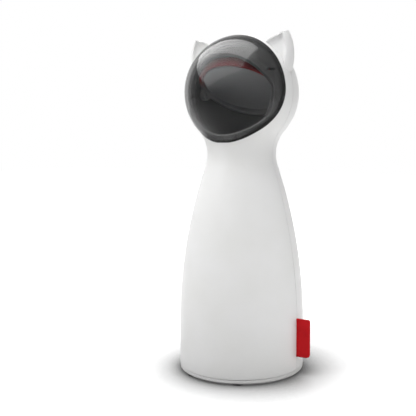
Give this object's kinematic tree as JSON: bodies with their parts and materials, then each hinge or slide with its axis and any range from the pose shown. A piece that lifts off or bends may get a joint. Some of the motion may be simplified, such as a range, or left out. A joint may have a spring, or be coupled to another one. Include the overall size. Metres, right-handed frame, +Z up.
{
  "type": "automatic cat laser toy",
  "caption": "Free-standing cat laser toy: white bottle-shaped shell with ears, smoked window, tilting motor-driven mirror over a laser, red range knob, button, charging port and red side tag.",
  "frame": {"origin": "on the standing surface, under the centre of the round base", "axes": "+Z up; the window faces -Y and the button, port and knob face +Y; +X is the toy's own left, where the tag is"},
  "size_m": [0.0945, 0.085, 0.2272],
  "materials": {
    "shell_white": "satin moulded white plastic",
    "base_white": "satin moulded white plastic",
    "smoked_window": "clear plastic tinted smoke black, polished",
    "bezel_charcoal": "fine satin charcoal plastic",
    "bowl_black": "matte black plastic",
    "red_plastic": "glossy bright red plastic",
    "frame_red": "satin deep red plastic",
    "tag_fabric": "woven deep red ribbon",
    "mirror_silver": "silvered plastic mirror",
    "unit_black": "matte black plastic",
    "gear_acetal": "natural acetal",
    "steel": "bright steel",
    "contact_nickel": "nickel-plated spring sheet",
    "laser_brass": "turned brass",
    "lens_glass": "clear lens",
    "board_green": "green solder mask over glass fibre",
    "part_black": "black moulded plastic",
    "plunger_grey": "grey moulded plastic",
    "foot_rubber": "soft dark grey rubber",
    "cell_wrap": "printed plastic sleeve over the metal can, bare ends"
  },
  "bodies": {
    "body": {"aa_cell_1": "cell_wrap", "aa_cell_2": "cell_wrap", "aa_cell_3": "cell_wrap", "base_plate": "base_white", "base_screws": "steel", "battery_box": "part_black", "battery_contacts": "contact_nickel", "board_parts": "part_black", "board_plugs": "plunger_grey", "board_screws": "steel", "front_shell": "shell_white", "inner_bowl": "bowl_black", "laser_barrel": "laser_brass", "laser_holder": "part_black", "laser_lens": "lens_glass", "main_board": "board_green", "pivot_pins": "steel", "rear_shell": "shell_white", "rubber_feet": "foot_rubber", "side_tag": "tag_fabric", "tact_switch": "part_black", "usb_board": "board_green", "usb_socket": "steel", "usb_tongue": "part_black", "window_bezel": "bezel_charcoal", "window_dome": "smoked_window"},
    "mirror_unit": {"mirror_frame": "frame_red", "gear_cover": "unit_black", "idler_axle": "steel", "motor_can": "steel", "motor_cap": "part_black", "knob_stem": "red_plastic", "range_knob": "red_plastic"},
    "mirror": {"mirror_disc": "mirror_silver", "mirror_carrier": "unit_black", "mirror_spindle": "steel", "output_gear": "gear_acetal"},
    "idler": {"idler_gear": "gear_acetal"},
    "motor_rotor": {"motor_pinion": "gear_acetal", "motor_shaft": "steel"},
    "button": {"mode_button": "shell_white"},
    "switch": {"switch_plunger": "plunger_grey"},
    "door": {"battery_door": "base_white"}
  },
  "joints": [
    {"name": "range_tilt", "type": "hinge", "parent": "body", "child": "mirror_unit", "pos_m": [0, 0, 0.1875], "axis": [-1, 0, 0], "range_deg": [0, 20]},
    {"name": "mirror_spin", "type": "hinge", "parent": "mirror_unit", "child": "mirror", "pos_m": [0, 0, 0.1875], "axis": [0, 0.5, 0.866], "continuous": true},
    {"name": "idler_spin", "type": "hinge", "parent": "mirror_unit", "child": "idler", "pos_m": [0.012, 0, 0.1875], "axis": [0, 0.5, 0.866], "continuous": true},
    {"name": "motor_spin", "type": "hinge", "parent": "mirror_unit", "child": "motor_rotor", "pos_m": [0.00504, -0.00847, 0.19239], "axis": [0, 0.5, 0.866], "continuous": true},
    {"name": "button_press", "type": "slide", "parent": "body", "child": "button", "axis": [0, -1, 0], "range_m": [0, 0.0005], "stiffness_N_per_m": 3000},
    {"name": "switch_press", "type": "slide", "parent": "body", "child": "switch", "axis": [0, -1, 0], "range_m": [0, 0.0005]},
    {"name": "door_slide", "type": "slide", "parent": "body", "child": "door", "axis": [0, 1, 0], "range_m": [0, 0.072]}
  ],
  "couplings": [
    {"joint": "idler_spin", "follows": "mirror_spin", "ratio": -3},
    {"joint": "motor_spin", "follows": "mirror_spin", "ratio": 9},
    {"joint": "switch_press", "follows": "button_press", "ratio": 1}
  ]
}
